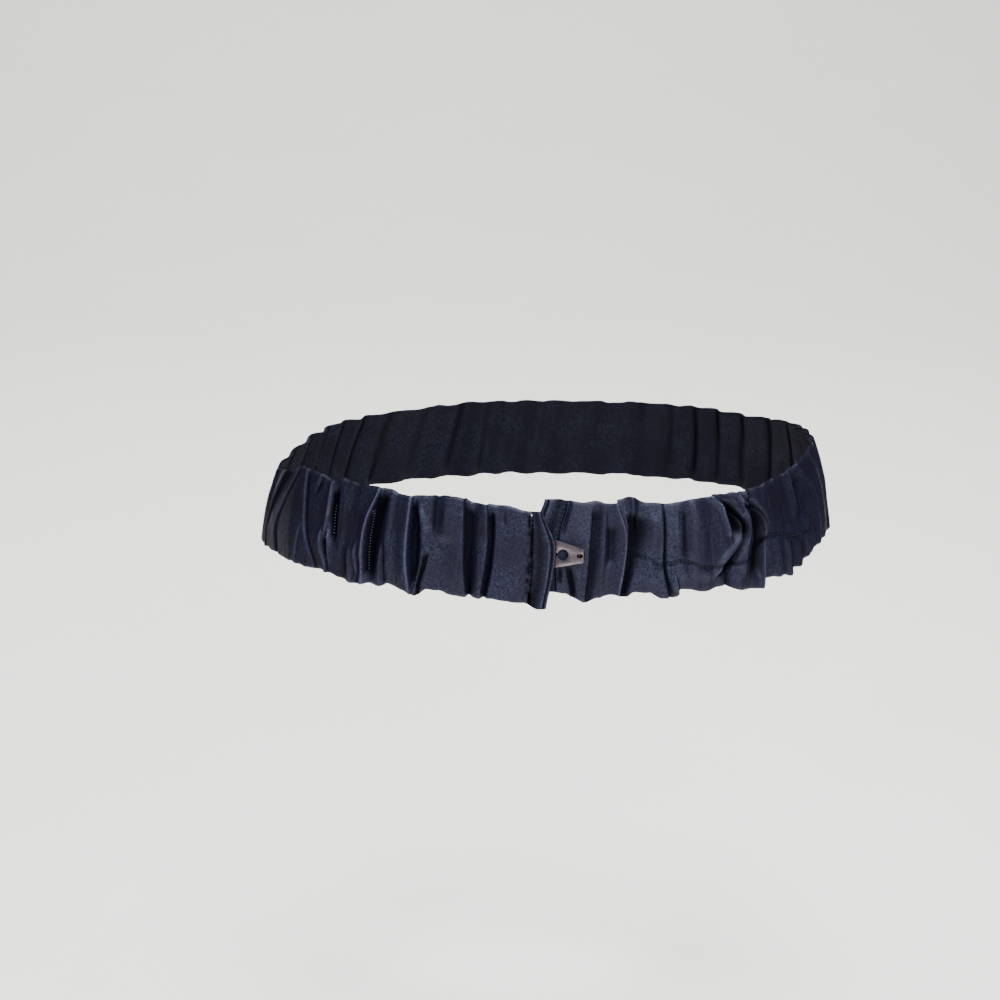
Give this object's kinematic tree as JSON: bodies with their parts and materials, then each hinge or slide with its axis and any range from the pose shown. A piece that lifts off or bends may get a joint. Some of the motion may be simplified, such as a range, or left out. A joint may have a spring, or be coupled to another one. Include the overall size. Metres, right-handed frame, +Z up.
{
  "type": "cummerbund",
  "caption": "Gathered satin cummerbund on elastic, worn: an oval tapered loop of folded cloth that laps and closes at the back with a pressed metal hook.",
  "frame": {"origin": "middle of the waist that the loop goes round, at half the height of the casing", "axes": "+Z up, +X to the wearer's right, -Y to the wearer's back, where the belt closes"},
  "size_m": [0.2899, 0.2183, 0.0559],
  "materials": {
    "satin": "dark navy polyester satin, gathered",
    "steel": "pressed nickel-plated steel, lightly scratched"
  },
  "bodies": {
    "root": {"casing": "satin", "upper_end_hem": "satin", "lower_end_hem": "satin", "hook_plate": "steel", "hook_bar": "steel"}
  },
  "joints": []
}
